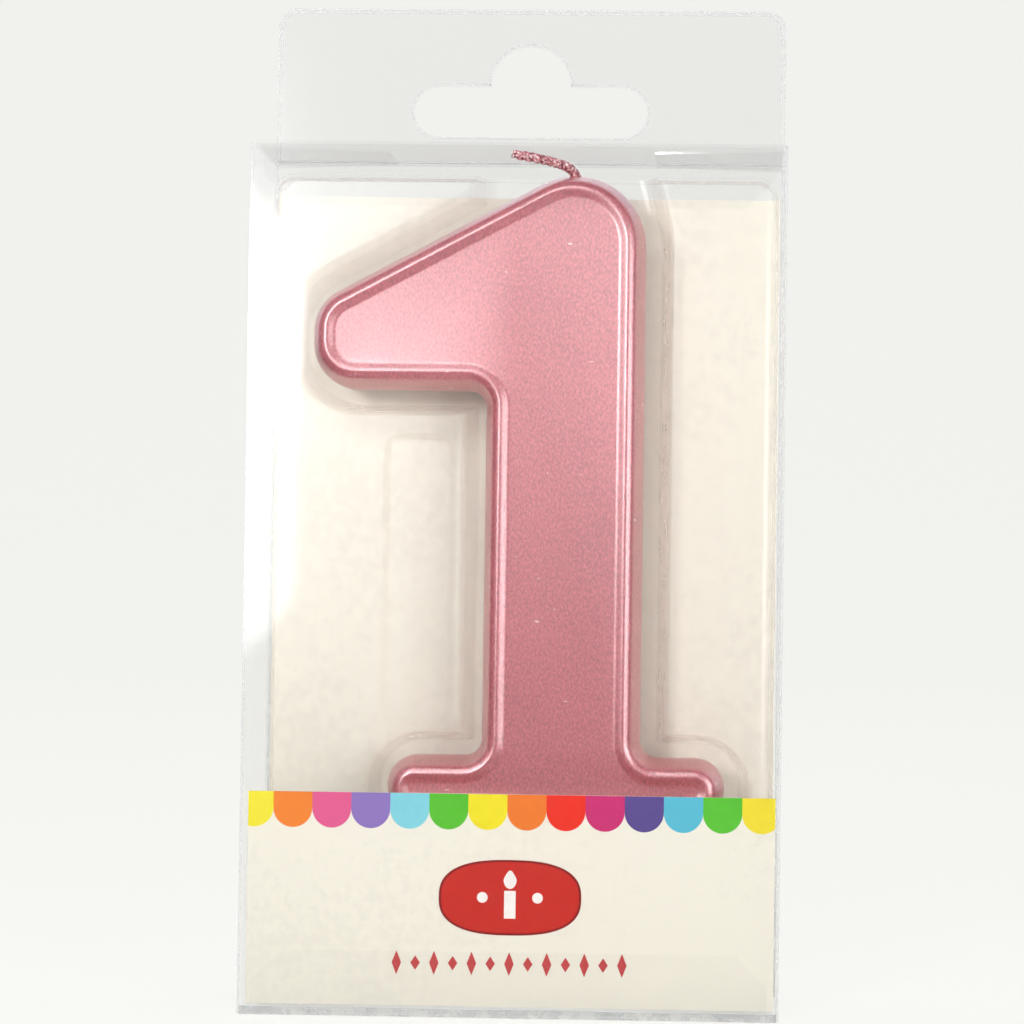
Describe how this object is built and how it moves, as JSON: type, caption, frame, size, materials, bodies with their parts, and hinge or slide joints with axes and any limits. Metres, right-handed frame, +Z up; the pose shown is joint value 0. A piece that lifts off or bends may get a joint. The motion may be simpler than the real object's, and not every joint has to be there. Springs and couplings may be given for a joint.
{
  "type": "number birthday candle",
  "caption": "Metallic pink wax birthday candle shaped as the figure 1, with wick and cake pick, held by a moulded tray in a clear hanging carton with a printed card.",
  "frame": {"origin": "middle of the carton's underside, on the surface that it stands on", "axes": "+Z up along the carton, +X to the right seen from the front, -Y out of the front panel"},
  "size_m": [0.07, 0.02, 0.1351],
  "materials": {
    "lacquered_wax": "satin pearl lacquer over wax",
    "wick": "braided, lacquered",
    "pick_plastic": "moulded",
    "tray_sheet": "clear thermoformed",
    "card": "coated and printed",
    "clear_film": "clear, glossy"
  },
  "bodies": {
    "pack": {"candle_wax": "lacquered_wax", "candle_wick": "wick", "candle_pick": "pick_plastic", "tray": "tray_sheet", "printed_card": "card", "carton_front": "clear_film", "carton_back": "clear_film", "carton_side_left": "clear_film", "carton_side_right": "clear_film", "carton_glue_flap": "clear_film", "lid_dust_flap_left": "clear_film", "lid_dust_flap_right": "clear_film", "base_dust_flap_left": "clear_film", "base_dust_flap_right": "clear_film"},
    "lid": {"lid_panel": "clear_film"},
    "lid_tuck": {"lid_tuck_flap": "clear_film"},
    "base": {"base_panel": "clear_film", "base_tuck_flap": "clear_film"},
    "hang_tab": {"hang_tab_back_ply": "clear_film", "hang_tab_front_ply": "clear_film"}
  },
  "joints": [
    {"name": "lid_hinge", "type": "hinge", "parent": "pack", "child": "lid", "pos_m": [0, 0.0092, 0.11335], "axis": [-1, 0, 0], "range_deg": [0, 85]},
    {"name": "lid_tuck_flex", "type": "hinge", "parent": "lid", "child": "lid_tuck", "pos_m": [0, -0.00925, 0.1132], "axis": [1, 0, 0], "range_deg": [0, 12]},
    {"name": "base_hinge", "type": "hinge", "parent": "pack", "child": "base", "pos_m": [0, 0.0092, 0.00015], "axis": [1, 0, 0], "range_deg": [0, 85]},
    {"name": "hang_tab_fold", "type": "hinge", "parent": "pack", "child": "hang_tab", "pos_m": [0, 0.01, 0.1136], "axis": [-1, 0, 0], "range_deg": [0, 90]}
  ]
}
